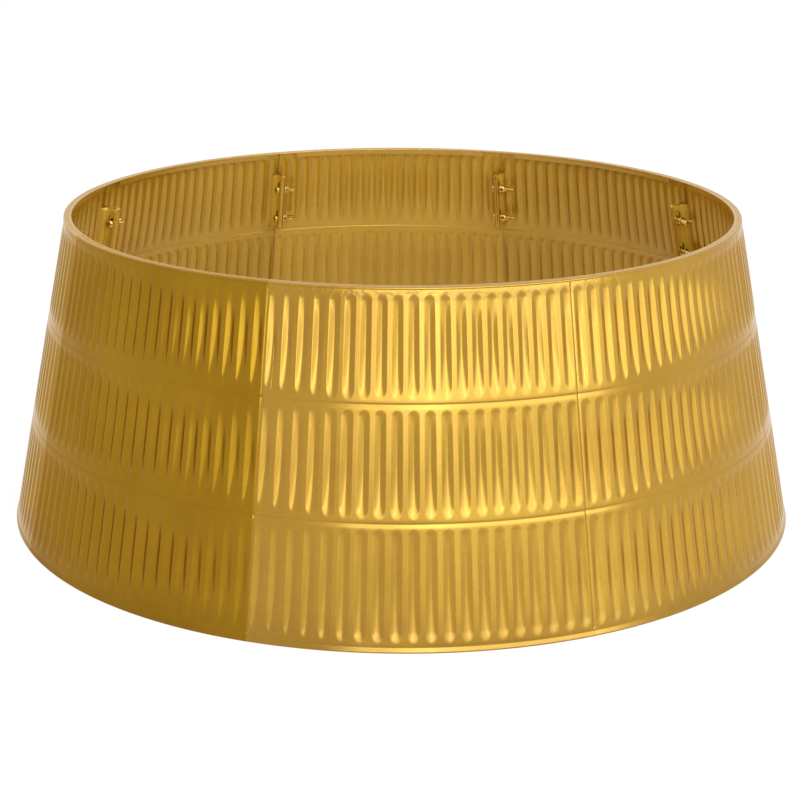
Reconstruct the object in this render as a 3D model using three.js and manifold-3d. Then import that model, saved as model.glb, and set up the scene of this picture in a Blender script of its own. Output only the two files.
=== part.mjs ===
// Pressed sheet-metal collar that hides a tree stand: eight fluted panels bolted into a tapered ring.
// Millimetres, +Z up. The origin is on the floor, on the ring's centre line.
// An angle of zero looks along -Y, and angles grow towards +X.

import * as THREE from 'three';
import { mergeVertices } from 'three/addons/utils/BufferGeometryUtils.js';
import Module from 'manifold-3d';

const wasm = await Module();
wasm.setup();

// Ring
const panelCount = 8;
const baseRadius = 329; // outer face of the wall at the floor
const topRadius = 278; // outer face of the wall at the rim
const ringHeight = 254;
const sheet = 0.6;
const seamGap = 0.4; // between the edges of two neighbouring panels

// Flutes, pressed inwards in three bands
const flutesPerPanel = 20;
const landShare = 0.31; // of the flute pitch that stays flat between two scoops
const fluteDepth = 1.6;
const fluteEndRun = 4; // length over which a scoop runs out at each end
const bottomMargin = 7; // floor to the lowest flutes
const topMargin = 5.5; // highest flutes to the rim
const beadStrip = 8; // plain strip between two bands, with a bead pressed along it
const beadDepth = 1.2;
const bandShares = [0.352, 0.332, 0.316]; // of the fluted height, lowest band first

// Rim, an inverted channel: the edge turned in, then down
const rimWidth = 6;
const rimDrop = 5.5;
const rimNotch = 17; // the down-turned lip stops this far short of each panel edge

// Rolled foot
const footHeight = 5;
const footProud = 1.3; // how far the roll stands outside the wall
const footInner = 1.2; // how far it stands inside the wall

// Tabs: one at each side edge of a panel, reaching into the ring
const tabRise = 1.5; // from the foot of the top flutes to the tab's lower edge
const tabHeight = 54;
const tabDepth = 17.8; // from the wall to the tab's free edge
const tabSpringOut = 7; // where the tab under the bolt heads leaves the wall, from the seam
const tabSpringBack = 3; // where the tab under the nuts leaves the wall, from the seam
const seatOut = 3.2; // middle of the seat under the heads, from the seam
const seatBack = 0.9; // middle of the seat under the nuts, from the seam

// Bolts and the slots that they sit in
const boltDepth = 11.2; // from the wall to the bolt's centre line
const lowerBoltRise = 10.5; // tab's lower edge to the lower bolt
const upperBoltDrop = 14.5; // tab's upper edge to the upper bolt
const shankRadius = 2;
const shankLength = 18.5;
const headRadius = 3.6;
const headHeight = 2.6;
const headTopShare = 0.72; // top of the head against its underside
const slotClearance = 0.5; // round the shank
const slotLength = 11.5;
const slotRest = 1; // bolt's centre line above the centre of the slot's lower end
const seatGap = 0.3; // under heads and nuts
const seatMargin = 0.4; // flat seat left round a head or a nut

// Wing nuts
const boreClearance = 0.25;
const hubRadius = 4.1;
const hubTopRadius = 3.5;
const hubHeight = 5.4;
const wingReach = 8.3; // from the bolt's centre line to a wing's tip
const wingTip = 9.4; // height of the wing tips over the nut's seat
const wingThickness = 1.8;
const wingRootShares = { low: 0.15, high: 0.95 }; // of the hub's height
const wingTipShares = { low: 0.6, out: 0.96, in: 0.7 }; // of the tip's height, and of the reach twice

// Facets
const plainColumns = 6; // across one panel, at the rim and the foot
const beadColumns = 10; // across one panel, along a bead
const boltSides = 6;
const nutSides = 6;
const cutOverrun = 1;

// Worked-out sizes
const panelAngle = (2 * Math.PI) / panelCount;
const wallSlope = (baseRadius - topRadius) / ringHeight;
const seatStart = boltDepth - Math.max(headRadius, hubRadius) - seatMargin;
const seatEnd = boltDepth + Math.max(headRadius, hubRadius) + seatMargin;
const meetingOffset = (seamGap + sheet) / 2; // middle of a tab's free edge, from the seam

const outerRadius = (z) => baseRadius - wallSlope * z;
const innerRadius = (z) => outerRadius(z) - sheet;

// Bottom and top height of each band of flutes, lowest first
function bandHeights() {
  const fluted = ringHeight - bottomMargin - topMargin - beadStrip * (bandShares.length - 1);
  let z = bottomMargin;
  return bandShares.map((share) => {
    const band = { bottom: z, top: z + share * fluted };
    z = band.top + beadStrip;
    return band;
  });
}

const bands = bandHeights();
const tabBottom = bands.at(-1).bottom + tabRise;
const boltHeights = {
  lower: tabBottom + lowerBoltRise,
  upper: tabBottom + tabHeight - upperBoltDrop,
};

// Solid from a closed triangle mesh
function solidFrom(geometry) {
  const bare = geometry.index ? geometry.toNonIndexed() : geometry.clone();
  bare.deleteAttribute('normal');
  bare.deleteAttribute('uv');
  const merged = mergeVertices(bare, sheet / 1000);
  return new wasm.Manifold(new wasm.Mesh({
    numProp: 3,
    vertProperties: new Float32Array(merged.attributes.position.array),
    triVerts: new Uint32Array(merged.index.array),
  }));
}

function geometryFrom(solid) {
  const mesh = solid.getMesh();
  const geometry = new THREE.BufferGeometry();
  geometry.setAttribute('position', new THREE.BufferAttribute(mesh.vertProperties, 3));
  geometry.setIndex(new THREE.BufferAttribute(mesh.triVerts, 1));
  geometry.computeVertexNormals();
  return geometry;
}

// One row of points across a panel, from its left edge to its right edge
function row(inset, z, shares) {
  const radius = outerRadius(z) - inset;
  const edge = panelAngle / 2 - Math.asin(seamGap / 2 / radius);
  const points = shares.map((share) => {
    const angle = edge * (2 * share - 1);
    return new THREE.Vector3(radius * Math.sin(angle), -radius * Math.cos(angle), z);
  });
  return { points, shares };
}

const evenShares = (count) => Array.from({ length: count + 1 }, (_, i) => i / count);
const plainShares = evenShares(plainColumns);
const beadShares = evenShares(beadColumns);
const crestShares = evenShares(flutesPerPanel);
const middleShares = Array.from({ length: flutesPerPanel }, (_, i) => (i + 0.5) / flutesPerPanel);
const landShares = [0, ...middleShares.flatMap((middle) => {
  const half = (1 - landShare) / 2 / flutesPerPanel;
  return [middle - half, middle + half];
}), 1];

// Triangles between two rows that may have different numbers of points
function stitch(faces, a, b) {
  let i = 0;
  let j = 0;
  while (i < a.points.length - 1 || j < b.points.length - 1) {
    const lastA = i === a.points.length - 1;
    const lastB = j === b.points.length - 1;
    if (lastB || (!lastA && a.shares[i + 1] <= b.shares[j + 1])) {
      faces.push(a.points[i], a.points[i + 1], b.points[j]);
      i += 1;
    } else {
      faces.push(a.points[i], b.points[j + 1], b.points[j]);
      j += 1;
    }
  }
}

function quad(faces, a, b, c, d) {
  faces.push(a, b, c, a, c, d);
}

// A band of scoops between two rows: each has a valley line and a slope at either end
function flutes(faces, from, to, inset, fromZ, toZ) {
  const shared = from.shares === crestShares;
  const run = Math.sign(toZ - fromZ) * fluteEndRun;
  const nearValley = row(inset, fromZ + run, middleShares).points;
  const farValley = row(inset, toZ - run, middleShares).points;
  for (let i = 0; i < flutesPerPanel; i += 1) {
    const left = shared ? i : 2 * i + 1;
    const right = left + 1;
    faces.push(from.points[left], from.points[right], nearValley[i]);
    quad(faces, from.points[left], nearValley[i], farValley[i], to.points[left]);
    quad(faces, nearValley[i], from.points[right], to.points[right], farValley[i]);
    faces.push(farValley[i], to.points[right], to.points[left]);
  }
  if (!shared) {
    for (let k = 0; k < from.points.length; k += 2) {
      quad(faces, from.points[k], from.points[k + 1], to.points[k + 1], to.points[k]);
    }
  }
}

// The edge of a panel is closed by a ladder between its outer and inner points
function edgeChain(rows, end) {
  const points = rows.map((each) => (end === 'left' ? each.points[0] : each.points.at(-1)));
  const lengths = [0];
  for (let i = 1; i < points.length; i += 1) {
    lengths.push(lengths[i - 1] + points[i].distanceTo(points[i - 1]));
  }
  return { points, shares: lengths.map((length) => length / lengths.at(-1)) };
}

function wallSolid() {
  const faces = [];
  const foot = [
    row(0, 0, plainShares),
    row(-footProud, footHeight / 2, plainShares),
    row(0, footHeight, plainShares),
  ];
  const outer = [...foot];
  bands.forEach((band, index) => {
    outer.push(row(0, band.bottom, landShares));
    outer.push(row(0, band.top, landShares));
    if (index < bands.length - 1) {
      outer.push(row(beadDepth, band.top + beadStrip / 2, beadShares));
    }
  });
  outer.push(row(0, ringHeight, plainShares));
  outer.push(row(rimWidth, ringHeight, plainShares));
  outer.push(row(rimWidth, ringHeight - rimDrop, plainShares));

  const inner = [row(sheet + footInner, 0, plainShares), row(sheet, footHeight, plainShares)];
  bands.forEach((band, index) => {
    inner.push(row(sheet, band.bottom, crestShares));
    inner.push(row(sheet, band.top, crestShares));
    if (index < bands.length - 1) {
      inner.push(row(sheet + beadDepth, band.top + beadStrip / 2, beadShares));
    }
  });
  inner.push(row(sheet, ringHeight - sheet, plainShares));
  inner.push(row(rimWidth - sheet, ringHeight - sheet, plainShares));
  inner.push(row(rimWidth - sheet, ringHeight - rimDrop, plainShares));

  const loop = [...outer, ...inner.toReversed()];
  loop.forEach((from, index) => {
    const to = loop[(index + 1) % loop.length];
    const fluted = from.shares === to.shares && [landShares, crestShares].includes(from.shares);
    if (fluted) {
      const inset = fluteDepth + (from.shares === crestShares ? sheet : 0);
      flutes(faces, from, to, inset, from.points[0].z, to.points[0].z);
    } else {
      stitch(faces, from, to);
    }
  });
  stitch(faces, edgeChain(outer, 'left'), edgeChain(inner, 'left'));
  stitch(faces, edgeChain(inner, 'right'), edgeChain(outer, 'right'));
  return solidFrom(new THREE.BufferGeometry().setFromPoints(faces));
}

// Outline of a folded strip of sheet that follows a path, with mitred bends
function stripShape(path) {
  const sides = [[], []];
  path.forEach((point, index) => {
    const before = path[Math.max(index - 1, 0)];
    const after = path[Math.min(index + 1, path.length - 1)];
    const into = point.clone().sub(index ? before : point).normalize();
    const out = after.clone().sub(index < path.length - 1 ? point : before).normalize();
    const along = (index ? into : out).clone().add(out).normalize();
    const across = new THREE.Vector2(-along.y, along.x);
    const reach = sheet / 2 / Math.max(across.dot(new THREE.Vector2(-out.y, out.x)), 0.5);
    sides[0].push(point.clone().addScaledVector(across, reach));
    sides[1].push(point.clone().addScaledVector(across, -reach));
  });
  return new THREE.Shape([...sides[0], ...sides[1].toReversed()]);
}

// Moves a shape drawn in (offset from the seam, depth from the wall, height) on to the leaning wall
function leanOnWall(geometry, bottom) {
  const lean = new THREE.Matrix4().set(
    1, 0, 0, 0,
    0, 1, wallSlope, wallSlope * bottom - innerRadius(0),
    0, 0, 1, bottom,
    0, 0, 0, 1,
  );
  return geometry.applyMatrix4(lean);
}

// An upright slot through a tab, with pointed ends
function slotSolid(z) {
  const half = shankRadius + slotClearance;
  const low = -slotRest;
  const high = slotLength - slotRest - 2 * half;
  const shape = new THREE.Shape([
    [0, low - half], [half, low], [half, high], [0, high + half], [-half, high], [-half, low],
  ].map(([x, y]) => new THREE.Vector2(x, y)));
  const reach = tabSpringOut + cutOverrun;
  const geometry = new THREE.ExtrudeGeometry(shape, { depth: 2 * reach, bevelEnabled: false });
  geometry.translate(boltDepth, 0, -reach);
  const swap = new THREE.Matrix4().makeBasis(
    new THREE.Vector3(0, 1, 0),
    new THREE.Vector3(0, 0, 1),
    new THREE.Vector3(1, 0, 0),
  );
  geometry.applyMatrix4(swap);
  return solidFrom(leanOnWall(geometry, z));
}

// Depth of the middle of the fluted sheet at some distance from the seam
function sheetDepth(offset) {
  const pitch = (panelAngle * outerRadius(tabBottom + tabHeight / 2)) / flutesPerPanel;
  const fromValley = Math.abs(((offset / pitch) % 1) - 0.5) * pitch;
  const scoop = fluteDepth * Math.max(0, 1 - fromValley / (pitch * (1 - landShare) / 2));
  const rib = fluteDepth * (1 - fromValley / (pitch / 2));
  return (scoop + rib - sheet) / 2;
}

// A tab seen from above leaves the wall, runs flat past the bolt and closes on its neighbour
function tabSolid(side, spring, seat) {
  const path = [
    [spring, sheetDepth(spring)],
    [seat, seatStart],
    [seat, seatEnd],
    [meetingOffset, tabDepth],
  ].map(([offset, depth]) => new THREE.Vector2(side * offset, depth));
  const geometry = new THREE.ExtrudeGeometry(stripShape(path), {
    depth: tabHeight,
    bevelEnabled: false,
  });
  let solid = solidFrom(leanOnWall(geometry, tabBottom));
  for (const z of Object.values(boltHeights)) {
    solid = solid.subtract(slotSolid(z));
  }
  return solid;
}

// The piece of the down-turned lip that is cut away next to a seam, half way into the fold
function notchSolid(side) {
  const lipInner = outerRadius(ringHeight) - rimWidth;
  const lipOuter = outerRadius(ringHeight - rimDrop) - rimWidth + sheet;
  const near = lipInner - cutOverrun;
  const far = lipOuter + cutOverrun / 2;
  const box = new THREE.BoxGeometry(rimNotch + cutOverrun, far - near, rimDrop);
  const across = (side * (rimNotch - cutOverrun)) / 2;
  box.translate(across, -(near + far) / 2, ringHeight - sheet / 2 - rimDrop / 2);
  return solidFrom(box);
}

const turned = (solid, angle) => solid.rotate([0, 0, THREE.MathUtils.radToDeg(angle)]);

function panelGeometry() {
  const leftTab = turned(tabSolid(1, tabSpringOut, seatOut), -panelAngle / 2);
  const rightTab = turned(tabSolid(-1, tabSpringBack, seatBack), panelAngle / 2);
  const wall = wallSolid()
    .subtract(turned(notchSolid(1), -panelAngle / 2))
    .subtract(turned(notchSolid(-1), panelAngle / 2));
  return geometryFrom(wall.add(leftTab).add(rightTab));
}

// Pan-head bolt, its seat at zero and its shank pointing down
function boltGeometry() {
  const profile = [
    [0, -shankLength],
    [shankRadius, -shankLength],
    [shankRadius, 0],
    [headRadius, 0],
    [headRadius * headTopShare, headHeight],
    [0, headHeight],
  ].map(([x, y]) => new THREE.Vector2(x, y));
  return geometryFrom(solidFrom(new THREE.LatheGeometry(profile, boltSides)));
}

// Wing nut, its seat at zero and its wings spread along X
function wingNutGeometry() {
  const flat = Math.cos(Math.PI / nutSides);
  const boreRadius = (shankRadius + boreClearance) / flat;
  const profile = [
    [boreRadius, 0],
    [hubRadius, 0],
    [hubTopRadius, hubHeight],
    [boreRadius, hubHeight],
    [boreRadius, 0],
  ].map(([x, y]) => new THREE.Vector2(x, y));
  let nut = solidFrom(new THREE.LatheGeometry(profile, nutSides, Math.PI / nutSides));
  const root = (boreRadius + hubTopRadius * flat) / 2;
  const wing = new THREE.Shape([
    [root, hubHeight * wingRootShares.low],
    [wingReach, wingTip * wingTipShares.low],
    [wingReach * wingTipShares.out, wingTip],
    [wingReach * wingTipShares.in, wingTip],
    [root, hubHeight * wingRootShares.high],
  ].map(([x, y]) => new THREE.Vector2(x, y)));
  for (const turn of [0, Math.PI]) {
    const plate = new THREE.ExtrudeGeometry(wing, { depth: wingThickness, bevelEnabled: false });
    plate.translate(0, 0, -wingThickness / 2);
    plate.rotateY(turn);
    nut = nut.add(solidFrom(plate));
  }
  return geometryFrom(nut);
}

// Finishes
const panelFinish = () => new THREE.MeshStandardMaterial({ color: 0xc99a35, roughness: 0.36, metalness: 1 });
const boltFinish = () => new THREE.MeshStandardMaterial({ color: 0xd9ab45, roughness: 0.3, metalness: 1 });
const nutFinish = () => new THREE.MeshStandardMaterial({ color: 0xdfb14a, roughness: 0.28, metalness: 1 });

function named(name, geometry, material) {
  const mesh = new THREE.Mesh(geometry, material);
  mesh.name = name;
  return mesh;
}

const collar = new THREE.Group();

const panelShape = panelGeometry();
for (let k = 1; k <= panelCount; k += 1) {
  const panel = named(`panel_${k}`, panelShape, panelFinish());
  panel.rotation.z = (k - 1) * panelAngle;
  collar.add(panel);
}

// Each seam has two bolts, heads on the side of the next panel and wing nuts on the other
const boltShape = boltGeometry();
const nutShape = wingNutGeometry();
for (let k = 1; k <= panelCount; k += 1) {
  const seam = new THREE.Group();
  seam.rotation.z = (k - 0.5) * panelAngle;
  for (const [level, z] of Object.entries(boltHeights)) {
    const bolt = named(`bolt_${k}_${level}`, boltShape, boltFinish());
    bolt.position.set(seatOut + sheet / 2 + seatGap, boltDepth - innerRadius(z), z);
    bolt.rotation.z = -Math.PI / 2;
    const nut = named(`wing_nut_${k}_${level}`, nutShape, nutFinish());
    nut.position.set(-(seatBack + sheet / 2 + seatGap), boltDepth - innerRadius(z), z);
    nut.rotation.z = Math.PI / 2;
    seam.add(bolt, nut);
  }
  collar.add(seam);
}

export default collar;
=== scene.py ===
# Gold tree collar: eight fluted panels of pressed sheet in a tapered ring, bolted together inside.
# Lengths are millimetres and angles are degrees where no note says otherwise. mm turns lengths into metres.

import math

import bmesh
import bpy
from mathutils import Matrix, Vector, noise


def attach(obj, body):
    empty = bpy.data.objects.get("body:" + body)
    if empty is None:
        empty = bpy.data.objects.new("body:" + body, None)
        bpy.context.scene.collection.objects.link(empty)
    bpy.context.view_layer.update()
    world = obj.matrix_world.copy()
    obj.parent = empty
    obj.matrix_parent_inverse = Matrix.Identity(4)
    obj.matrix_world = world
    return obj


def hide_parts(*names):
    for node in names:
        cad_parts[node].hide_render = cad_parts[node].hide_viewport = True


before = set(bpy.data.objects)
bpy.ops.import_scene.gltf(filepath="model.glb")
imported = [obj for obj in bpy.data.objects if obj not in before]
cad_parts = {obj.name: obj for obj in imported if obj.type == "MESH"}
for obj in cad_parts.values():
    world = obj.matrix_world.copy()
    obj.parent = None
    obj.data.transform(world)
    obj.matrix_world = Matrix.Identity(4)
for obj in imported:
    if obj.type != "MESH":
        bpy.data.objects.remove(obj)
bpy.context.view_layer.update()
scene = bpy.context.scene
mm = 0.001
print("frame loaded:", len(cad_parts), "nodes")


# Camera, at the photograph's view
cameraSetup = {
    "place": (-74.6, -1549.0, 573.7),
    "heading": -2.70,
    "pitch": 17.514,
    "roll": 0.261,
    "lens": 85.12,
}


def makeCamera(setup):
    data = bpy.data.cameras.new("photo_camera")
    data.lens = setup["lens"]
    data.sensor_width = 36.0
    data.clip_start = 0.05
    data.clip_end = 60.0
    camera = bpy.data.objects.new("photo_camera", data)
    scene.collection.objects.link(camera)
    aim = Matrix.Rotation(math.radians(setup["heading"]), 4, "Z")
    tilt = Matrix.Rotation(math.radians(90.0 - setup["pitch"]), 4, "X")
    roll = Matrix.Rotation(math.radians(setup["roll"]), 4, "Z")
    camera.matrix_world = Matrix.Translation(Vector(setup["place"]) * mm) @ aim @ tilt @ roll
    scene.camera = camera


makeCamera(cameraSetup)
print("camera placed")


# Node helpers
def addNode(tree, kind, **values):
    node = tree.nodes.new(kind)
    for key, value in values.items():
        if hasattr(node, key):
            setattr(node, key, value)
        else:
            node.inputs[key.replace("_", " ")].default_value = value
    return node


def join(tree, fromNode, output, toNode, socket):
    tree.links.new(fromNode.outputs[output], toNode.inputs[socket])


def colourRamp(tree, stops):
    node = tree.nodes.new("ShaderNodeValToRGB")
    ramp = node.color_ramp
    while len(ramp.elements) < len(stops):
        ramp.elements.new(0.5)
    for element, (place, colour) in zip(ramp.elements, stops):
        element.position = place
        element.color = (*colour, 1.0)
    return node


# Satin gold paint: cloudy colour, fine flake, scratches in the gloss, a panel's tone that is mostly painted
# light and shade, painted shade in the inside valleys, rubbed folds with a painted highlight and painted
# shade, and darker patches near the floor. Its heights and depths are metres, because the patterns read them
# from the finished mesh.
paintLook = {
    "deep": (0.35, 0.175, 0.005),
    "light": (0.41, 0.22, 0.012),
    # painted shade and a painted highlight on the folds, mottled like rubbed paint
    "foldShade": (0.42, 0.215, 0.03),
    "foldHighlight": (0.52, 0.33, 0.085),
    # painted shade in the valleys between the flutes inside
    "valley": (0.78, 0.75, 0.4),
    # darker and greyer in patches towards the floor
    "lowDarkening": (0.62, 0.58, 0.5),
    "metalOutside": 0.78,
    "metalInside": 0.5,
    "dullInside": 0.12,
    "specular": 0.2,
    "edgeTint": (0.9, 0.68, 0.3),
    "roughness": (0.2, 0.26),
    "coat": (0.15, 0.6),
    "coatTone": 0.3,
    "coatRoughness": 0.2,
    "cloudScale": 9.0,
    "flakeScale": 1900.0,
    "mottleScale": 320.0,
    "foldLightStrength": 1.6,
    "lowPatchScale": 45.0,
    "lowPatchHeight": 0.028,
    "scratchScale": 720.0,
    "scratchStretch": 0.06,
    "scratchShare": (0.62, 0.74),
    "scratchDull": 0.03,
    "peelScale": 160.0,
    "peelDepth": 0.000007,
    "grainScale": 1500.0,
    "grainDepth": 0.000004,
    "crumpleScale": 210.0,
    "crumpleDepth": 0.0005,
    "crumpleStrip": (0.244, 0.2505),
}
# between these two tones the paint goes over from the gloss of the outside to the duller one inside
insideFrom = 0.5
insideTo = 0.55
# what a panel's tone does to the colour, from darker through plain to paler: mostly painted light, darker as
# painted shade on the panels turned from the lamps and paler as painted light inside and on the tabs, with a
# little of each panel's own tone
toneAndLightStops = [
    (0.0, (0.76, 0.73, 0.4)), (0.3, (1.0, 1.0, 1.0)), (0.55, (1.14, 1.16, 1.5)), (0.75, (1.4, 1.42, 2.0)),
    (1.0, (2.1, 2.75, 8.0)),
]


def noiseNode(tree, where, **values):
    node = addNode(tree, "ShaderNodeTexNoise", **values)
    join(tree, where, "Object", node, "Vector")
    return node


def mixColours(tree, factor, first, second, blend="MIX"):
    node = addNode(tree, "ShaderNodeMix", data_type="RGBA", blend_type=blend)
    if factor is None:
        node.inputs["Factor"].default_value = 1.0
    else:
        tree.links.new(factor, node.inputs["Factor"])
    tree.links.new(first, node.inputs["A"])
    tree.links.new(second, node.inputs["B"])
    return node.outputs["Result"]


# wall paint, the panel's tone with its painted light and shade, painted shade in the valleys inside, fine
# flake, rubbed folds with a painted highlight and painted shade, darker patches low down
def paintColour(tree, where, look):
    clouds = noiseNode(tree, where, Scale=look["cloudScale"], Detail=6.0, Roughness=0.6)
    tone = colourRamp(tree, [(0.35, look["deep"]), (0.65, look["light"])])
    join(tree, clouds, "Fac", tone, "Fac")
    # the panel's tone: painted shade on the panels turned from the lamps, paler painted light inside and on
    # the tabs
    toneAndLightColour = colourRamp(tree, toneAndLightStops)
    toneAndLightShare = addNode(tree, "ShaderNodeAttribute", attribute_name="tone")
    join(tree, toneAndLightShare, "Fac", toneAndLightColour, "Fac")
    colour = mixColours(tree, None, tone.outputs["Color"], toneAndLightColour.outputs["Color"], "MULTIPLY")
    # painted shade in the valleys between the flutes inside
    inValleyShade = addNode(tree, "ShaderNodeAttribute", attribute_name="valley")
    valleyTone = colourRamp(tree, [(0.0, (1.0, 1.0, 1.0)), (1.0, look["valley"])])
    join(tree, inValleyShade, "Fac", valleyTone, "Fac")
    colour = mixColours(tree, None, colour, valleyTone.outputs["Color"], "MULTIPLY")

    flake = noiseNode(tree, where, Scale=look["flakeScale"], Detail=1.0)
    sparkle = colourRamp(tree, [(0.3, (0.9, 0.9, 0.9)), (0.7, (1.1, 1.1, 1.1))])
    join(tree, flake, "Fac", sparkle, "Fac")
    colour = mixColours(tree, None, colour, sparkle.outputs["Color"], "MULTIPLY")

    # the folds: mottled rubbed paint, with a painted highlight on the rim's top and the tabs' hems and
    # painted shade on the rim's outer fold
    fold = addNode(tree, "ShaderNodeAttribute", attribute_name="folded")
    mottle = noiseNode(tree, where, Scale=look["mottleScale"], Detail=3.0, Roughness=0.55)
    blotch = addNode(tree, "ShaderNodeMath", operation="MULTIPLY")
    join(tree, fold, "Fac", blotch, 0)
    join(tree, mottle, "Fac", blotch, 1)
    foldLightTone = colourRamp(tree, [(0.22, look["foldShade"]), (0.55, look["foldHighlight"])])
    join(tree, blotch, "Value", foldLightTone, "Fac")
    foldLightShare = addNode(tree, "ShaderNodeMath", operation="MULTIPLY", use_clamp=True)
    join(tree, fold, "Fac", foldLightShare, 0)
    foldLightShare.inputs[1].default_value = look["foldLightStrength"]
    colour = mixColours(tree, foldLightShare.outputs["Value"], colour, foldLightTone.outputs["Color"])

    # darker and greyer in patches towards the floor
    height = addNode(tree, "ShaderNodeSeparateXYZ")
    join(tree, where, "Object", height, "Vector")
    low = addNode(tree, "ShaderNodeMapRange", From_Min=look["lowPatchHeight"], From_Max=0.0,
                  To_Min=0.0, To_Max=1.0)
    join(tree, height, "Z", low, "Value")
    lowPatches = noiseNode(tree, where, Scale=look["lowPatchScale"], Detail=5.0, Roughness=0.65)
    lowPatchShare = addNode(tree, "ShaderNodeMath", operation="MULTIPLY", use_clamp=True)
    join(tree, low, "Result", lowPatchShare, 0)
    join(tree, lowPatches, "Fac", lowPatchShare, 1)
    darkenedLow = addNode(tree, "ShaderNodeMix", data_type="RGBA", blend_type="MULTIPLY")
    darkenedLow.inputs["B"].default_value = (*look["lowDarkening"], 1.0)
    join(tree, lowPatchShare, "Value", darkenedLow, "Factor")
    tree.links.new(colour, darkenedLow.inputs["A"])
    return darkenedLow.outputs["Result"], clouds, height


# gloss that varies with the clouds, long fine scratches that dull it, and a duller inside
def paintGloss(tree, where, clouds, tone, look):
    gloss = addNode(tree, "ShaderNodeMapRange", From_Min=0.3, From_Max=0.7,
                    To_Min=look["roughness"][0], To_Max=look["roughness"][1])
    join(tree, clouds, "Fac", gloss, "Value")
    stretch = addNode(tree, "ShaderNodeMapping")
    stretch.inputs["Scale"].default_value = (1.0, 1.0, look["scratchStretch"])
    join(tree, where, "Object", stretch, "Vector")
    scratch = addNode(tree, "ShaderNodeTexNoise", Scale=look["scratchScale"], Detail=2.0)
    join(tree, stretch, "Vector", scratch, "Vector")
    low, high = look["scratchShare"]
    rubbed = addNode(tree, "ShaderNodeMapRange", From_Min=low, From_Max=high,
                     To_Min=0.0, To_Max=look["scratchDull"])
    join(tree, scratch, "Fac", rubbed, "Value")
    worn = addNode(tree, "ShaderNodeMath", operation="ADD")
    join(tree, gloss, "Result", worn, 0)
    join(tree, rubbed, "Result", worn, 1)
    dull = addNode(tree, "ShaderNodeMapRange", From_Min=insideFrom, From_Max=insideTo,
                   To_Min=0.0, To_Max=look["dullInside"])
    join(tree, tone, "Fac", dull, "Value")
    total = addNode(tree, "ShaderNodeMath", operation="ADD")
    join(tree, worn, "Value", total, 0)
    join(tree, dull, "Result", total, 1)
    return total


# orange peel, fine grain, and the crumpled strip between the flutes and the rim
def paintBumps(tree, where, height, look):
    crumple = noiseNode(tree, where, Scale=look["crumpleScale"], Detail=3.0, Roughness=0.5)
    peel = noiseNode(tree, where, Scale=look["peelScale"], Detail=2.0, Roughness=0.5)
    grain = noiseNode(tree, where, Scale=look["grainScale"], Detail=2.0)
    low, high = look["crumpleStrip"]
    strip = addNode(tree, "ShaderNodeMapRange", From_Min=low, From_Max=high, To_Min=0.0, To_Max=1.0)
    join(tree, height, "Z", strip, "Value")
    masked = addNode(tree, "ShaderNodeMath", operation="MULTIPLY")
    join(tree, crumple, "Fac", masked, 0)
    join(tree, strip, "Result", masked, 1)
    heights = [
        (masked, "Value", look["crumpleDepth"]),
        (peel, "Fac", look["peelDepth"]),
        (grain, "Fac", look["grainDepth"]),
    ]
    last = None
    for node, output, depth in heights:
        bump = addNode(tree, "ShaderNodeBump", Strength=1.0, Distance=depth)
        join(tree, node, output, bump, "Height")
        if last:
            join(tree, last, "Normal", bump, "Normal")
        last = bump
    return last


def goldPaint(name, look):
    material = bpy.data.materials.new(name)
    material.use_nodes = True
    tree = material.node_tree
    shader = tree.nodes["Principled BSDF"]
    shader.inputs["Specular IOR Level"].default_value = look["specular"]
    shader.inputs["Specular Tint"].default_value = (*look["edgeTint"], 1.0)
    shader.inputs["Coat Roughness"].default_value = look["coatRoughness"]
    tone = addNode(tree, "ShaderNodeAttribute", attribute_name="tone")
    metal = addNode(tree, "ShaderNodeMapRange", From_Min=insideFrom, From_Max=insideTo,
                    To_Min=look["metalOutside"], To_Max=look["metalInside"])
    join(tree, tone, "Fac", metal, "Value")
    join(tree, metal, "Result", shader, "Metallic")
    lacquer = addNode(tree, "ShaderNodeMapRange", From_Min=0.0, From_Max=look["coatTone"],
                      To_Min=look["coat"][0], To_Max=look["coat"][1])
    join(tree, tone, "Fac", lacquer, "Value")
    join(tree, lacquer, "Result", shader, "Coat Weight")
    where = addNode(tree, "ShaderNodeTexCoord")
    colour, clouds, height = paintColour(tree, where, look)
    tree.links.new(colour, shader.inputs["Base Color"])
    join(tree, paintGloss(tree, where, clouds, tone, look), "Value", shader, "Roughness")
    join(tree, paintBumps(tree, where, height, look), "Normal", shader, "Normal")
    return material


# the same paint on the bolts and nuts, paler and more metallic, and not crumpled
boltLook = {
    **paintLook,
    "deep": (0.5, 0.33, 0.05),
    "light": (0.62, 0.43, 0.09),
    "metalOutside": 0.95,
    "metalInside": 0.95,
    "roughness": (0.2, 0.28),
    "coat": (0.2, 0.3),
    "peelDepth": 0.00001,
    "crumpleDepth": 0.0,
}
panelPaint = goldPaint("gold_paint", paintLook)
boltPaint = goldPaint("bolt_gold", boltLook)
print("materials made")


# Panels. A panel is drawn flat as (share across, depth into the ring, height) and then rolled on to the cone.
ring = {
    "panels": 8,
    "baseRadius": 329.0,
    "topRadius": 278.0,
    "height": 254.0,
    "sheet": 0.6,
    "seamGap": 0.05,
    "plainBelowFlutes": 0.5,
    "plainUnderRim": 0.6,
}
flute = {
    "count": 20,
    "widthShare": 0.7,
    "depth": 2.15,
    "lowFade": 0.85,
    "highFade": 0.8,
    "fadePower": 2.0,
    "lowCap": 8.0,
    "highCap": 4.0,
    "crease": 1.2,
    "rounding": 0.9,
    "shoulder": 0.3,
    "columns": 14,
    "endRows": 6,
    "middleRows": 12,
    "bottomMargin": 7.0,
    "topMargin": 5.5,
    "beadStrip": 8.0,
    "bandShares": (0.352, 0.332, 0.316),
}
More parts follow.
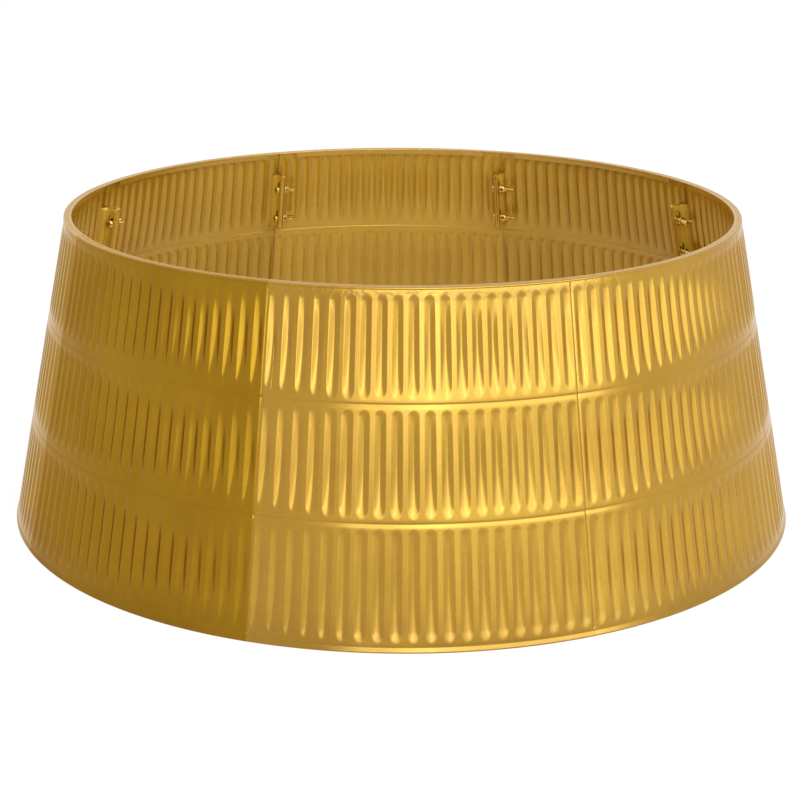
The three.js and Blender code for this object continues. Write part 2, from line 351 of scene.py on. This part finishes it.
# the groove between two rows of flutes: a slow way in from below, a steep way out and a shallow shelf above
bead = {"raise": 0.3, "deep": 0.5, "below": 2.9, "steep": 0.8, "shelf": 0.05, "above": 1.6, "rows": 4}
# the strip beside a seam, which sinks by drop and then turns into the ring
seamEdge = {"width": 1.4, "drop": 0.45, "turnedIn": 2.2, "columns": (1 / 3, 0.7)}
# profiles from the wall outwards, as (depth into the ring, height above the floor or below the rim), and for
# the rim how much painted fold light its rubbed skin gets: a painted highlight towards the inner top, painted
# shade on the outer fold and the lip
foot = [
    (0.03, 5.1), (0.12, 4.5), (0.15, 3.9), (0.04, 3.3), (-0.3, 2.4), (-0.6, 1.5), (-0.72, 0.9), (-0.62, 0.4),
    (-0.25, 0.05), (0.3, 0.0), (1.2, 0.0), (1.7, 0.4), (1.9, 1.3), (1.85, 3.0), (1.7, 5.4),
]
rim = [
    (0.12, -2.0, 0.0), (-0.2, -1.7, 0.0), (-0.45, -1.2, 0.05), (-0.4, -0.6, 0.2), (0.0, -0.15, 0.3),
    (0.6, 0.0, 0.35), (1.6, -0.2, 0.3), (2.8, -0.22, 0.35), (4.0, -0.12, 0.8), (5.0, 0.0, 1.0),
    (5.7, -0.25, 0.8), (6.0, -0.9, 0.3), (6.05, -1.9, 0.1), (5.3, -5.5, 0.3),
]
# the lip inside the rim stops rimNotch short of a seam. Its faces lie deeper than lipDepth and within
# lipReach below the rim.
rimNotch = 17.0
lipDepth = 4.7
lipReach = 11.0
near = 0.001
nearShare = 0.0000001
panelAngle = math.tau / ring["panels"]
wallSlope = (ring["baseRadius"] - ring["topRadius"]) / ring["height"]


def wallRadius(z):
    return ring["baseRadius"] - wallSlope * z


def bandHeights():
    strips = flute["beadStrip"] * (len(flute["bandShares"]) - 1)
    fluted = ring["height"] - flute["bottomMargin"] - flute["topMargin"] - strips
    bands = []
    z = flute["bottomMargin"]
    for share in flute["bandShares"]:
        bands.append((z, z + share * fluted))
        z = bands[-1][1] + flute["beadStrip"]
    return bands


bands = bandHeights()
pitch = wallRadius(ring["height"] / 2) * panelAngle / flute["count"]
halfFlute = pitch * flute["widthShare"] / 2


# shares across a panel: a narrow column of faces at each side of a land, and several across each flute
def gridColumns():
    half = flute["widthShare"] / 2
    shoulder = flute["shoulder"] / pitch
    across = [0.5 - half + 2 * half * k / flute["columns"] for k in range(flute["columns"] + 1)]
    cell = [0.0, 0.5 - half - shoulder] + across + [0.5 + half + shoulder]
    shares = [(number + place) / flute["count"] for number in range(flute["count"]) for place in cell]
    edge = seamEdge["width"] / (pitch * flute["count"])
    extra = [edge * place for place in seamEdge["columns"]]
    return sorted(shares + extra + [1 - share for share in extra] + [1.0])


def gridRows():
    heights = [foot[0][1] + ring["plainBelowFlutes"]]
    for number, (low, high) in enumerate(bands):
        ends = [k / flute["endRows"] for k in range(flute["endRows"] + 1)]
        straight = high - low - flute["lowCap"] - flute["highCap"]
        heights += [low + flute["lowCap"] * end for end in ends]
        heights += [heights[-1] + straight * k / flute["middleRows"] for k in range(1, flute["middleRows"])]
        heights += [high - flute["highCap"] * end for end in reversed(ends)]
        if number < len(bands) - 1:
            deepest = high + flute["beadStrip"] / 2 + bead["raise"]
            heights += [deepest - bead["below"] * (1 - k / bead["rows"]) for k in range(bead["rows"] + 1)]
            heights += [deepest + bead["steep"] * k / bead["rows"] for k in range(1, bead["rows"] + 1)]
            heights += [deepest + bead["steep"] + bead["above"] / 2, deepest + bead["steep"] + bead["above"]]
    return heights + [ring["height"] + rim[0][1] - ring["plainUnderRim"]]


def ease(share):
    return 0.5 + 0.5 * math.cos(math.pi * min(max(share, 0.0), 1.0))


def grooveDepth(fromDeepest):
    if fromDeepest <= 0.0:
        return bead["deep"] * ease(-fromDeepest / bead["below"])
    steep = (bead["deep"] - bead["shelf"]) * ease(fromDeepest / bead["steep"])
    return steep + bead["shelf"] * ease((fromDeepest - bead["steep"]) / bead["above"])


# how far the press pushes the sheet into the ring at one point: each flute is creased along its upper half,
# gets shallower towards both ends, and rounder towards the lower one
def pressedDepth(share, z):
    across = ((share * flute["count"]) % 1.0 - 0.5) * pitch
    depth = 0.0
    for number, (low, high) in enumerate(bands):
        if low <= z <= high:
            inCap = max(1.0 - min((z - low) / flute["lowCap"], (high - z) / flute["highCap"]), 0.0)
            reach = min(math.hypot(across / halfFlute, inCap), 1.0)
            belowMiddle = (low + high - 2 * z) / (high - low)
            fade = flute["lowFade"] if belowMiddle > 0.0 else flute["highFade"]
            scoop = flute["depth"] * (1.0 - fade * abs(belowMiddle) ** flute["fadePower"])
            depth = scoop * (1.0 - reach ** (flute["crease"] + flute["rounding"] * max(belowMiddle, 0.0)))
        if number < len(bands) - 1 and high < z < high + flute["beadStrip"]:
            depth = grooveDepth(z - high - flute["beadStrip"] / 2 - bead["raise"])
    return depth


# extrudes a boundary of the flat panel along a profile, row by row
def pullEdge(bm, edges, profile, base):
    folded = bm.verts.layers.float["folded"]
    for depth, z, *foldLightness in profile:
        made = bmesh.ops.extrude_edge_only(bm, edges=edges)["geom"]
        for vert in made:
            if isinstance(vert, bmesh.types.BMVert):
                vert.co.y = depth
                vert.co.z = base + z
                # how much painted fold light this row of the rim gets
                vert[folded] = sum(foldLightness)
        edges = [e for e in made if isinstance(e, bmesh.types.BMEdge) and e.is_boundary
                 and all(v in made for v in e.verts)]
        edges = [e for e in edges if abs(e.verts[0].co.z - e.verts[1].co.z) < near
                 and abs(e.verts[0].co.y - e.verts[1].co.y) < near]


def flatPanel():
    columns = gridColumns()
    rows = gridRows()
    across = len(columns) - 1
    up = len(rows) - 1
    bm = bmesh.new()
    bm.verts.layers.float.new("folded")
    bmesh.ops.create_grid(bm, x_segments=across, y_segments=up, size=0.5)
    for vert in bm.verts:
        share = columns[round((vert.co.x + 0.5) * across)]
        z = rows[round((vert.co.y + 0.5) * up)]
        vert.co = (share, pressedDepth(share, z), z)
    wall = set(bm.verts)
    lowest = [e for e in bm.edges if all(abs(v.co.z - rows[0]) < near for v in e.verts)]
    highest = [e for e in bm.edges if all(abs(v.co.z - rows[-1]) < near for v in e.verts)]
    sides = [e for e in bm.edges if e.is_boundary and abs(e.verts[0].co.x - e.verts[1].co.x) < nearShare]
    turned = bmesh.ops.extrude_edge_only(bm, edges=sides)["geom"]
    for vert in turned:
        if isinstance(vert, bmesh.types.BMVert):
            vert.co.y += seamEdge["turnedIn"]
    pullEdge(bm, lowest, foot, 0.0)
    pullEdge(bm, highest, rim, ring["height"])
    return bm, wall


# slow waves and small crumples of the sheet, different in each panel and fading at its edges
waves = {
    "slow": 0.28,
    "slowAcross": 3.0,
    "slowUp": 90.0,
    "slowStep": 7.3,
    "small": 0.03,
    "smallAcross": 26.0,
    "smallUp": 16.0,
    "smallStep": 3.1,
}
fadeAcross = 8.0
fadeFrom = 4.0
fadeUp = 8.0


def wavyDepth(share, z, number):
    width = pitch * flute["count"]
    fromEdge = min(share, 1.0 - share) * width
    slowAt = Vector((share * waves["slowAcross"], z / waves["slowUp"], number * waves["slowStep"]))
    smallAt = Vector((share * waves["smallAcross"], z / waves["smallUp"], number * waves["smallStep"]))
    fade = min(fromEdge / fadeAcross, 1.0) * min(max(z - fadeFrom, 0.0) / fadeUp, 1.0)
    droop = seamEdge["drop"] * max(1.0 - fromEdge / seamEdge["width"], 0.0) ** 2
    return (noise.noise(slowAt) * waves["slow"] + noise.noise(smallAt) * waves["small"]) * fade + droop


def panelMesh(turn, number):
    bm, wall = flatPanel()
    notch = rimNotch / (pitch * flute["count"])
    lip = ring["height"] + rim[-3][1]
    cutAway = []
    for face in bm.faces:
        middle = face.calc_center_median()
        onLip = lip - lipReach < middle.z < lip and middle.y > lipDepth
        if onLip and not notch < middle.x < 1.0 - notch:
            cutAway.append(face)
    bmesh.ops.delete(bm, geom=cutAway, context="FACES")
    for vert in bm.verts:
        share, depth, z = vert.co
        if vert in wall:
            depth += wavyDepth(share, z, number)
        radius = wallRadius(z) - depth
        edge = panelAngle / 2 - math.asin(ring["seamGap"] / 2 / radius)
        angle = turn + edge * (2 * share - 1)
        vert.co = (radius * math.sin(angle), -radius * math.cos(angle), z)
    bm.normal_update()
    bmesh.ops.solidify(bm, geom=bm.faces[:], thickness=ring["sheet"])
    return bm


# Tabs, one on each side of a seam, seen from above as (distance from the seam, depth from the wall)
tab = {
    "low": 178.74,
    "high": 232.74,
    "slots": (189.24, 218.24),
    "slotCentre": 11.2,
    "slotHalf": 2.5,
    "slotBelow": 1.0,
    "slotAbove": 5.5,
    "foldRadius": 0.7,
    "cornerRadius": 1.6,
    "hem": 1.8,
    "hemLean": 1.1,
    "hemRaise": 0.6,
    # a painted highlight on the top of the hem
    "hemHighlight": 0.9,
    "edgeBevel": 0.12,
    "edgeAngle": 1.0,  # radians
    "slotSteps": 6,
}
# side of the seam, and distances from it where a tab springs from the wall and where its seat lies
headSide = {"side": 1, "spring": 7.0, "seat": 3.2}
nutSide = {"side": -1, "spring": 3.0, "seat": 0.9}
# depths where a tab's flat seat starts and ends, the tab's tip, and the share of the way there where its hem
# starts
seatStart = 6.7
seatEnd = 15.7
tabTip = (0.15, 17.8)
hemShare = 0.45


def tabColumns(look):
    half = tab["slotHalf"]
    columns = [(look["spring"], 0.0), (look["seat"], seatStart)]
    for k in range(tab["slotSteps"] + 1):
        columns.append((look["seat"], tab["slotCentre"] - half * math.cos(math.pi * k / tab["slotSteps"])))
    hemStart = [a + (b - a) * hemShare for a, b in zip((look["seat"], seatEnd), tabTip)]
    return columns + [(look["seat"], seatEnd), hemStart, tabTip]


def tabRows():
    rows = [tab["low"]]
    for z in tab["slots"]:
        low = z - tab["slotBelow"]
        high = z + tab["slotAbove"]
        rows += [low - tab["slotHalf"], low, (low + high) / 2, high, high + tab["slotHalf"]]
    return rows + [tab["high"] - tab["hem"], tab["high"]]


# the rows and columns of a tab's grid where its slots lie
slotFeet = (1, 6)
slotTops = (5, 10)
slotRows = (1, 2, 3, 4, 6, 7, 8, 9)
slotColumns = range(2, 2 + tab["slotSteps"])


def roundSlotEnds(bm, rowOf, columnOf, columns):
    for vert in bm.verts:
        row = rowOf[vert]
        place = columns[columnOf[vert]][1] - tab["slotCentre"]
        if row in (*slotFeet, *slotTops) and abs(place) < tab["slotHalf"] + near:
            bulge = tab["slotHalf"] - math.sqrt(max(tab["slotHalf"] ** 2 - place ** 2, 0.0))
            vert.co.z += bulge if row in slotFeet else -bulge


def tabMesh(look, turn, number):
    columns = tabColumns(look)
    rows = tabRows()
    across = len(columns) - 1
    up = len(rows) - 1
    bm = bmesh.new()
    folded = bm.verts.layers.float.new("folded")
    bmesh.ops.create_grid(bm, x_segments=across, y_segments=up, size=0.5)
    rowOf = {v: round((v.co.y + 0.5) * up) for v in bm.verts}
    columnOf = {v: round((v.co.x + 0.5) * across) for v in bm.verts}
    slots = [f for f in bm.faces if min(rowOf[v] for v in f.verts) in slotRows
             and min(columnOf[v] for v in f.verts) in slotColumns]
    for vert in bm.verts:
        offset, depth = columns[columnOf[vert]]
        vert.co = (offset, depth, rows[rowOf[vert]])
    roundSlotEnds(bm, rowOf, columnOf, columns)
    for vert in bm.verts:
        if rowOf[vert] == up and columnOf[vert] > 0:
            vert.co.x -= tab["hemLean"]
    corners = [v for v in bm.verts if columnOf[v] == across and rowOf[v] in (0, up)]
    foldColumns = (1, across - 2)
    folds = [e for e in bm.edges if columnOf[e.verts[0]] == columnOf[e.verts[1]] in foldColumns]
    bmesh.ops.delete(bm, geom=slots, context="FACES")
    folds = [e for e in folds if e.is_valid]
    bmesh.ops.bevel(bm, geom=corners, offset=tab["cornerRadius"], segments=4, profile=0.5,
                    affect="VERTICES", material=-1)
    bmesh.ops.bevel(bm, geom=folds, offset=tab["foldRadius"], segments=3, profile=0.5,
                    affect="EDGES", material=-1)
    bmesh.ops.remove_doubles(bm, verts=bm.verts[:], dist=near)
    hemDepth = columns[-2][1]
    hems = [f for f in bm.faces if f.calc_center_median().y > hemDepth]
    raised = bmesh.ops.extrude_face_region(bm, geom=hems)["geom"]
    bmesh.ops.delete(bm, geom=hems, context="FACES_ONLY")
    for vert in raised:
        if isinstance(vert, bmesh.types.BMVert):
            vert.co.x += tab["hemRaise"]
    width = pitch * flute["count"]
    for vert in bm.verts:
        offset, depth, z = vert.co
        share = offset / width if look["side"] > 0 else 1.0 - offset / width
        root = pressedDepth(share, z) + wavyDepth(share, z, number) - ring["sheet"] / 2
        depth += root * max(1.0 - depth / seatStart, 0.0)
        vert.co = (look["side"] * (offset + ring["sheet"] / 2), depth - wallRadius(z) + ring["sheet"], z)
    bm.normal_update()
    if sum(f.normal.x * look["side"] for f in bm.faces) < 0:
        bmesh.ops.reverse_faces(bm, faces=bm.faces[:])
    bmesh.ops.solidify(bm, geom=bm.faces[:], thickness=ring["sheet"])
    bm.normal_update()
    # tabs take much paler painted light, and their tips a painted highlight
    tone = bm.verts.layers.float.new("tone")
    for vert in bm.verts:
        fromWall = wallRadius(vert.co.z) + vert.co.y
        vert[tone] = tabPaintedLight[number - 1] if fromWall < seatEnd else tipHighlight
        # a painted highlight on the top of the tab's hem
        vert[folded] = tab["hemHighlight"] if vert.co.z > tab["high"] - near else 0.0
    rims = [e for e in bm.edges if e.is_manifold and e.calc_face_angle(0.0) > tab["edgeAngle"]]
    bmesh.ops.bevel(bm, geom=rims, offset=tab["edgeBevel"], segments=1, profile=0.5,
                    affect="EDGES", material=-1)
    seam = turn - look["side"] * panelAngle / 2
    bmesh.ops.rotate(bm, cent=(0, 0, 0), matrix=Matrix.Rotation(seam, 3, "Z"), verts=bm.verts[:])
    return bm


def addMesh(bm, other):
    spare = bpy.data.meshes.new("spare")
    other.to_mesh(spare)
    other.free()
    bm.from_mesh(spare)
    bpy.data.meshes.remove(spare)


sharpAngle = math.radians(50.0)
# for the pieces that have no tones of their own
boltTone = 0.5


def finishPiece(name, bm, body, nodes, material):
    if "tone" not in bm.verts.layers.float:
        tone = bm.verts.layers.float.new("tone")
        for vert in bm.verts:
            vert[tone] = boltTone
    for edge in bm.edges:
        if edge.is_manifold and edge.calc_face_angle(0.0) > sharpAngle:
            edge.smooth = False
    mesh = bpy.data.meshes.new(name)
    bm.to_mesh(mesh)
    bm.free()
    mesh.materials.append(material)
    for polygon in mesh.polygons:
        polygon.use_smooth = True
    piece = bpy.data.objects.new(name, mesh)
    scene.collection.objects.link(piece)
    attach(piece, body)
    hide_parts(*nodes)
    return piece


# each panel's tone outside and inside, from the front one round to the front left, and those of its tabs and
# of all the tabs' tips: painted shade on the panels turned from the lamps with a little of each panel's own
# tone, paler painted light inside, much paler painted light on the tabs and a painted highlight on their tips
panelTonesAndShade = (0.3, 0.45, 0.4, 0.3, 0.4, 0.3, 0.2, 0.0)
insideTonesAndLight = (0.68, 0.68, 0.62, 0.6, 0.68, 0.58, 0.55, 0.58)
tabPaintedLight = (1.0, 1.0, 1.0, 1.0, 1.0, 1.0, 0.85, 1.0)
tipHighlight = 0.72
# the share of half a flute where the painted shade of the valley beside it starts
valleyFrom = 0.85


# how deep in the valley between two flutes a point of the inside lies, fading at the ends of the flutes; this
# is the share of painted shade there
def valleyShare(place, turn):
    share = 0.5 + math.remainder(math.atan2(place.x, -place.y) - turn, math.tau) / panelAngle
    across = abs((share * flute["count"]) % 1.0 - 0.5) * pitch
    aside = (across - valleyFrom * halfFlute) / (pitch / 2 - valleyFrom * halfFlute)
    for low, high in bands:
        if low < place.z < high:
            fade = min((place.z - low) / flute["lowCap"], (high - place.z) / flute["highCap"], 1.0)
            return max(aside, 0.0) * fade
    return 0.0


def makePanel(number):
    turn = (number - 1) * panelAngle
    bm = panelMesh(turn, number)
    tone = bm.verts.layers.float.new("tone")
    valley = bm.verts.layers.float.new("valley")
    for vert in bm.verts:
        inward = vert.normal.x * vert.co.x + vert.normal.y * vert.co.y < 0
        # outside faces take the panel's tone with its painted shade, inside faces a paler painted light
        tonesAndLight = insideTonesAndLight if inward else panelTonesAndShade
        vert[tone] = tonesAndLight[number - 1]
        # painted shade in the valleys between the flutes inside
        vert[valley] = valleyShare(vert.co, turn) if inward else 0.0
    for look in (headSide, nutSide):
        addMesh(bm, tabMesh(look, turn, number))
    bmesh.ops.scale(bm, vec=(mm, mm, mm), verts=bm.verts[:])
    finishPiece(f"fluted_panel_{number}", bm, "ring", [f"panel_{number}"], panelPaint)


for number in range(1, ring["panels"] + 1):
    makePanel(number)
print("panels pressed")


# Bolts: a domed head with a cross recess, and a shank with a rolled thread
bolt = {
    "seatGap": 0.3,
    "shankRadius": 2.0,
    "rootRadius": 1.68,
    "shankLength": 18.5,
    "tipRadius": 1.1,
    "tipLength": 1.4,
    "pitch": 0.7,
    "steps": 16,
    "headSteps": 24,
    "recessRadius": 1.9,
    "recessHalf": 0.42,
    "recessDepth": 1.3,
    "recessBand": 0.3,
    "recessArm": 15.0,
    "recessTaper": 0.85,
    "turnStep": 1.3,  # radians from one seam to the next
}
boltHead = [
    (0.0, 0.0), (3.3, 0.0), (3.55, 0.12), (3.6, 0.4), (3.6, 0.9), (3.5, 1.35), (3.2, 1.8), (2.6, 2.2),
    (1.9, 2.45), (1.1, 2.57), (0.5, 2.6), (0.0, 2.6),
]


def lineOf(bm, points):
    verts = [bm.verts.new((radius, 0.0, z)) for radius, z in points]
    edges = [bm.edges.new(pair) for pair in zip(verts, verts[1:])]
    return verts + edges


def headMesh():
    bm = bmesh.new()
    line = lineOf(bm, boltHead)
    steps = bolt["headSteps"]
    bmesh.ops.spin(bm, geom=line, cent=(0, 0, 0), axis=(0, 0, 1), angle=math.tau, steps=steps, use_merge=True)
    bmesh.ops.remove_doubles(bm, verts=bm.verts[:], dist=near)
    bmesh.ops.recalc_face_normals(bm, faces=bm.faces[:])
    top = boltHead[-1][1]
    arms = []
    for face in bm.faces:
        middle = face.calc_center_median()
        reach = max(math.hypot(v.co.x, v.co.y) for v in face.verts)
        aside = math.degrees(math.atan2(middle.y, middle.x)) % 90.0
        onArm = min(aside, 90.0 - aside) < bolt["recessArm"]
        if middle.z > top - bolt["recessBand"] and reach < bolt["recessRadius"] + near and onArm:
            arms.append(face)
    for vert in {v for f in arms for v in f.verts}:
        x, y = vert.co.x, vert.co.y
        if math.hypot(x, y) > bolt["recessHalf"]:
            small = min(abs(x), abs(y))
            if small > near and abs(x) > abs(y):
                vert.co.y = math.copysign(bolt["recessHalf"], y)
            elif small > near:
                vert.co.x = math.copysign(bolt["recessHalf"], x)
    sunk = bmesh.ops.extrude_face_region(bm, geom=arms)["geom"]
    bmesh.ops.delete(bm, geom=arms, context="FACES_ONLY")
    for vert in sunk:
        if isinstance(vert, bmesh.types.BMVert):
            vert.co.x *= bolt["recessTaper"]
            vert.co.y *= bolt["recessTaper"]
            vert.co.z -= bolt["recessDepth"]
    return bm


def shankMesh():
    bm = bmesh.new()
    half = bolt["pitch"] / 2
    turns = int(bolt["shankLength"] / bolt["pitch"]) * 2
    low = -bolt["shankLength"]
    points = []
    for k in range(turns):
        radius = bolt["shankRadius"] if k % 2 else bolt["rootRadius"]
        taper = min((k * half + half) / bolt["tipLength"], 1.0)
        points.append((bolt["tipRadius"] + (radius - bolt["tipRadius"]) * taper, low + k * half))
    rise = (0.0, 0.0, bolt["pitch"] / bolt["steps"])
    line = lineOf(bm, points)
    bmesh.ops.spin(bm, geom=line, cent=(0, 0, 0), axis=(0, 0, 1), dvec=rise, angle=math.tau,
                   steps=bolt["steps"])
    bmesh.ops.remove_doubles(bm, verts=bm.verts[:], dist=near)
    bmesh.ops.holes_fill(bm, edges=[e for e in bm.edges if e.is_boundary])
    bmesh.ops.recalc_face_normals(bm, faces=bm.faces[:])
    return bm


# turns a fastener drawn upright into a seam's own frame, and then round the ring
def setAtSeam(bm, quarter, across, z, seam):
    radius = wallRadius(z) - ring["sheet"] - tab["slotCentre"]
    lay = Matrix.Rotation(math.radians(quarter), 4, "Y") @ Matrix.Rotation(math.radians(90.0), 4, "Z")
    place = Matrix.Translation(Vector((across, -radius, z)))
    turn = Matrix.Rotation(seam, 4, "Z")
    bmesh.ops.transform(bm, matrix=Matrix.Scale(mm, 4) @ turn @ place @ lay, verts=bm.verts[:])


def makeBolt(seamNumber, level, z, spin):
    bm = headMesh()
    addMesh(bm, shankMesh())
    bmesh.ops.rotate(bm, cent=(0, 0, 0), matrix=Matrix.Rotation(spin, 3, "Z"), verts=bm.verts[:])
    across = headSide["seat"] + ring["sheet"] / 2 + bolt["seatGap"]
    setAtSeam(bm, 90.0, across, z, (seamNumber - 0.5) * panelAngle)
    name = f"{seamNumber}_{level}"
    finishPiece(f"pan_head_bolt_{name}", bm, "ring", [f"bolt_{name}"], boltPaint)


# Wing nuts: a tapered hub with two wings pulled out of its sides, from the faces beyond rootReach
wingNut = {"steps": 16, "smoothing": 2, "rootReach": 3.3, "rootHalf": 1.0}
nutHub = [
    (2.12, 0.3), (2.35, 0.0), (3.9, 0.0), (4.1, 0.25), (3.95, 1.2), (3.68, 4.2), (3.5, 5.1), (3.3, 5.4),
    (2.4, 5.4), (2.12, 5.15),
]
# steps of a wing as (reach, lowest point, highest point, half thickness)
wingSteps = [
    (4.4, 1.0, 5.4, 1.05), (5.6, 2.3, 7.0, 0.85), (6.9, 3.9, 8.7, 0.85), (7.9, 5.3, 9.3, 0.8),
    (8.3, 6.3, 9.0, 0.55),
]


def nutMesh():
    bm = bmesh.new()
    line = lineOf(bm, nutHub)
    line.append(bm.edges.new((line[len(nutHub) - 1], line[0])))
    steps = wingNut["steps"]
    bmesh.ops.spin(bm, geom=line, cent=(0, 0, 0), axis=(0, 0, 1), angle=math.tau, steps=steps, use_merge=True)
    bmesh.ops.remove_doubles(bm, verts=bm.verts[:], dist=near)
    bmesh.ops.recalc_face_normals(bm, faces=bm.faces[:])
    low = nutHub[4][1] - near
    high = nutHub[5][1] + near
    for side in (1, -1):
        faces = []
        for face in bm.faces:
            middle = face.calc_center_median()
            heights = [v.co.z for v in face.verts]
            atRoot = side * middle.x > wingNut["rootReach"] and abs(middle.y) < wingNut["rootHalf"]
            if min(heights) > low and max(heights) < high and atRoot:
                faces.append(face)
        for reach, bottom, top, half in wingSteps:
            made = bmesh.ops.extrude_face_region(bm, geom=faces)["geom"]
            bmesh.ops.delete(bm, geom=faces, context="FACES_ONLY")
            verts = [v for v in made if isinstance(v, bmesh.types.BMVert)]
            faces = [f for f in made if isinstance(f, bmesh.types.BMFace)]
            middle = sum(v.co.z for v in verts) / len(verts)
            for vert in verts:
                sideways = 0.0 if abs(vert.co.y) < near else math.copysign(half, vert.co.y)
                vert.co = (side * reach, sideways, top if vert.co.z > middle else bottom)
    return bm


def makeNut(seamNumber, level, z):
    bm = nutMesh()
    across = -(nutSide["seat"] + ring["sheet"] / 2 + bolt["seatGap"])
    setAtSeam(bm, -90.0, across, z, (seamNumber - 0.5) * panelAngle)
    name = f"{seamNumber}_{level}"
    nut = finishPiece(f"winged_nut_{name}", bm, f"nut_{name}", [f"wing_nut_{name}"], boltPaint)
    rounded = nut.modifiers.new("rounded", "SUBSURF")
    rounded.levels = wingNut["smoothing"]
    rounded.render_levels = wingNut["smoothing"]


for seamNumber in range(1, ring["panels"] + 1):
    for levelNumber, (level, height) in enumerate(zip(("lower", "upper"), tab["slots"])):
        makeBolt(seamNumber, level, height, seamNumber * bolt["turnStep"] + levelNumber)
        makeNut(seamNumber, level, height)
print("bolts and wing nuts made")


# White surroundings, and a floor that keeps the object's shadow. The floor's radius is in metres.
studio = {"white": (1.0, 1.0, 1.0, 1.0), "fill": (1.0, 0.98, 0.95, 1.0), "fillStrength": 1.0}
floorLook = {"radius": 7.0, "steps": 64, "grey": (0.8, 0.8, 0.8, 1.0), "shadowShare": 0.12}


# one for a ray from the camera, from a gloss or through glass, and zero for any other
def seesBackdrop(tree):
    path = addNode(tree, "ShaderNodeLightPath")
    first = addNode(tree, "ShaderNodeMath", operation="MAXIMUM")
    join(tree, path, "Is Camera Ray", first, 0)
    join(tree, path, "Is Glossy Ray", first, 1)
    both = addNode(tree, "ShaderNodeMath", operation="MAXIMUM")
    join(tree, first, "Value", both, 0)
    join(tree, path, "Is Transmission Ray", both, 1)
    return both


def makeWorld():
    world = bpy.data.worlds.new("studio")
    scene.world = world
    world.use_nodes = True
    tree = world.node_tree
    tree.nodes.clear()
    seen = addNode(tree, "ShaderNodeBackground", Color=studio["white"], Strength=1.0)
    lit = addNode(tree, "ShaderNodeBackground", Color=studio["fill"], Strength=studio["fillStrength"])
    mix = addNode(tree, "ShaderNodeMixShader")
    tree.links.new(seesBackdrop(tree).outputs["Value"], mix.inputs[0])
    tree.links.new(lit.outputs[0], mix.inputs[1])
    tree.links.new(seen.outputs[0], mix.inputs[2])
    out = addNode(tree, "ShaderNodeOutputWorld")
    tree.links.new(mix.outputs[0], out.inputs["Surface"])


def makeFloor():
    bm = bmesh.new()
    bmesh.ops.create_circle(bm, cap_ends=True, radius=floorLook["radius"], segments=floorLook["steps"])
    mesh = bpy.data.meshes.new("floor")
    bm.to_mesh(mesh)
    bm.free()
    floor = bpy.data.objects.new("floor", mesh)
    scene.collection.objects.link(floor)
    material = bpy.data.materials.new("white_floor")
    material.use_nodes = True
    tree = material.node_tree
    tree.nodes.clear()
    share = floorLook["shadowShare"]
    plain = addNode(tree, "ShaderNodeBsdfDiffuse", Color=floorLook["grey"])
    faint = addNode(tree, "ShaderNodeBsdfDiffuse", Color=(share, share, share, 1.0))
    glow = addNode(tree, "ShaderNodeEmission", Color=studio["white"], Strength=1.0 - share)
    both = addNode(tree, "ShaderNodeAddShader")
    tree.links.new(faint.outputs[0], both.inputs[0])
    tree.links.new(glow.outputs[0], both.inputs[1])
    mix = addNode(tree, "ShaderNodeMixShader")
    tree.links.new(seesBackdrop(tree).outputs["Value"], mix.inputs[0])
    tree.links.new(plain.outputs[0], mix.inputs[1])
    tree.links.new(both.outputs[0], mix.inputs[2])
    out = addNode(tree, "ShaderNodeOutputMaterial")
    tree.links.new(mix.outputs[0], out.inputs["Surface"])
    mesh.materials.append(material)


# Lamps: a wide softbox in front and to the right with a brighter one over it, a narrow one in front, a
# ceiling, and a small one that lights the back
lampColour = (0.74, 0.86, 1.0)
lamps = [
    {"name": "key", "azimuth": 33.0, "elevation": 15.5, "distance": 2600.0, "width": 2650.0, "height": 2000.0,
     "power": 18.0},
    {"name": "front_left", "azimuth": -4.0, "elevation": 16.0, "distance": 2600.0, "width": 1250.0,
     "height": 1200.0, "power": 15.0},
    {"name": "key_high", "azimuth": 28.0, "elevation": 28.0, "distance": 2700.0, "width": 2900.0,
     "height": 2200.0, "power": 43.0},
    {"name": "ceiling", "azimuth": -20.0, "elevation": 70.0, "distance": 2600.0, "width": 2400.0,
     "height": 2400.0, "power": 12.0},
    {"name": "back", "azimuth": 222.0, "elevation": 24.0, "distance": 2600.0, "width": 1500.0,
     "height": 1300.0, "power": 7.0},
]


def makeLamp(setup):
    data = bpy.data.lights.new(setup["name"], "AREA")
    data.shape = "RECTANGLE"
    data.size = setup["width"] * mm
    data.size_y = setup["height"] * mm
    data.energy = setup["power"]
    data.color = lampColour
    lamp = bpy.data.objects.new(setup["name"], data)
    scene.collection.objects.link(lamp)
    azimuth = math.radians(setup["azimuth"])
    elevation = math.radians(setup["elevation"])
    away = Vector((
        math.sin(azimuth) * math.cos(elevation),
        -math.cos(azimuth) * math.cos(elevation),
        math.sin(elevation),
    ))
    centre = Vector((0.0, 0.0, ring["height"] / 2)) * mm
    lamp.location = centre + away * setup["distance"] * mm
    lamp.rotation_euler = away.to_track_quat("Z", "Y").to_euler()


makeWorld()
makeFloor()
for lampSetup in lamps:
    makeLamp(lampSetup)
scene.view_settings.view_transform = "Standard"
print("floor, world and lamps set")
